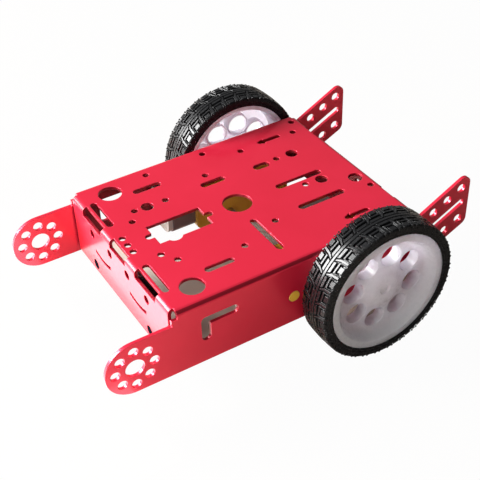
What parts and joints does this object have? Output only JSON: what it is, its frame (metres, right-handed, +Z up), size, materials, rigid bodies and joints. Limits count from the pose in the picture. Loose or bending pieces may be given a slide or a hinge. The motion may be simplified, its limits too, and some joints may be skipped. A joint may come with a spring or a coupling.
{
  "type": "two wheel robot car",
  "caption": "Bent sheet robot car chassis with a geared motor and treaded wheel on each side and a ball caster under the front.",
  "frame": {"origin": "centre of the overall box, on the ground", "axes": "+X towards the round front ears, +Y to the car's left, +Z up"},
  "size_m": [0.1746, 0.132, 0.065],
  "materials": {
    "red_anodised": "red anodised sheet, satin",
    "gearbox_yellow": "moulded",
    "white_nylon": "moulded gear nylon",
    "steel": "zinc plated",
    "can_steel": "dull plated can",
    "magnet": "ferrite",
    "copper": "wound core",
    "end_cap": "moulded",
    "brass_tab": "stamped",
    "hub_white": "milky, part translucent",
    "tyre": "black rubber",
    "black_steel": "black",
    "black_plastic": "moulded",
    "steel_ball": "polished"
  },
  "bodies": {
    "chassis_body": {"chassis": "red_anodised", "left_gearbox_outer": "gearbox_yellow", "left_gearbox_inner": "gearbox_yellow", "left_gear_pins": "steel", "left_motor_can": "can_steel", "left_magnets": "magnet", "left_end_cap": "end_cap", "left_terminals": "brass_tab", "left_motor_screws": "steel", "left_motor_nuts": "steel", "right_gearbox_outer": "gearbox_yellow", "right_gearbox_inner": "gearbox_yellow", "right_gear_pins": "steel", "right_motor_can": "can_steel", "right_magnets": "magnet", "right_end_cap": "end_cap", "right_terminals": "brass_tab", "right_motor_screws": "steel", "right_motor_nuts": "steel", "caster_bracket": "black_steel", "bracket_screws": "black_steel", "bracket_nuts": "black_steel", "caster_housing": "black_plastic", "caster_screws": "steel", "caster_nuts": "steel"},
    "caster_ball_body": {"caster_ball": "steel_ball"},
    "left_wheel": {"left_tyre": "tyre", "left_hub": "hub_white", "left_output_gear": "white_nylon"},
    "left_cluster": {"left_cluster_gear": "white_nylon"},
    "left_crown": {"left_crown_gear": "white_nylon"},
    "left_rotor_body": {"left_rotor": "copper"},
    "right_wheel": {"right_tyre": "tyre", "right_hub": "hub_white", "right_output_gear": "white_nylon"},
    "right_cluster": {"right_cluster_gear": "white_nylon"},
    "right_crown": {"right_crown_gear": "white_nylon"},
    "right_rotor_body": {"right_rotor": "copper"}
  },
  "joints": [
    {"name": "left_wheel_spin", "type": "hinge", "parent": "chassis_body", "child": "left_wheel", "pos_m": [-0.0304, 0.0356, 0.0325], "axis": [0, 1, 0], "continuous": true},
    {"name": "left_cluster_spin", "type": "hinge", "parent": "chassis_body", "child": "left_cluster", "pos_m": [-0.02093, 0.0356, 0.0357], "axis": [0, 1, 0], "continuous": true},
    {"name": "left_crown_spin", "type": "hinge", "parent": "chassis_body", "child": "left_crown", "pos_m": [-0.01359, 0.0356, 0.0325], "axis": [0, 1, 0], "continuous": true},
    {"name": "left_rotor_spin", "type": "hinge", "parent": "chassis_body", "child": "left_rotor_body", "pos_m": [0, 0.0356, 0.0325], "axis": [1, 0, 0], "continuous": true},
    {"name": "right_wheel_spin", "type": "hinge", "parent": "chassis_body", "child": "right_wheel", "pos_m": [-0.0304, -0.0356, 0.0325], "axis": [0, 1, 0], "continuous": true},
    {"name": "right_cluster_spin", "type": "hinge", "parent": "chassis_body", "child": "right_cluster", "pos_m": [-0.02093, -0.0356, 0.0293], "axis": [0, 1, 0], "continuous": true},
    {"name": "right_crown_spin", "type": "hinge", "parent": "chassis_body", "child": "right_crown", "pos_m": [-0.01359, -0.0356, 0.0325], "axis": [0, 1, 0], "continuous": true},
    {"name": "right_rotor_spin", "type": "hinge", "parent": "chassis_body", "child": "right_rotor_body", "pos_m": [0, -0.0356, 0.0325], "axis": [1, 0, 0], "continuous": true},
    {"name": "caster_ball_roll", "type": "hinge", "parent": "chassis_body", "child": "caster_ball_body", "pos_m": [0.0445, 0, 0.0055], "axis": [0, 1, 0], "continuous": true}
  ],
  "couplings": [
    {"joint": "left_wheel_spin", "follows": "left_rotor_spin", "ratio": 0.020833},
    {"joint": "left_cluster_spin", "follows": "left_rotor_spin", "ratio": -0.083333},
    {"joint": "left_crown_spin", "follows": "left_rotor_spin", "ratio": 0.25},
    {"joint": "right_wheel_spin", "follows": "right_rotor_spin", "ratio": -0.020833},
    {"joint": "right_cluster_spin", "follows": "right_rotor_spin", "ratio": 0.083333},
    {"joint": "right_crown_spin", "follows": "right_rotor_spin", "ratio": -0.25}
  ]
}
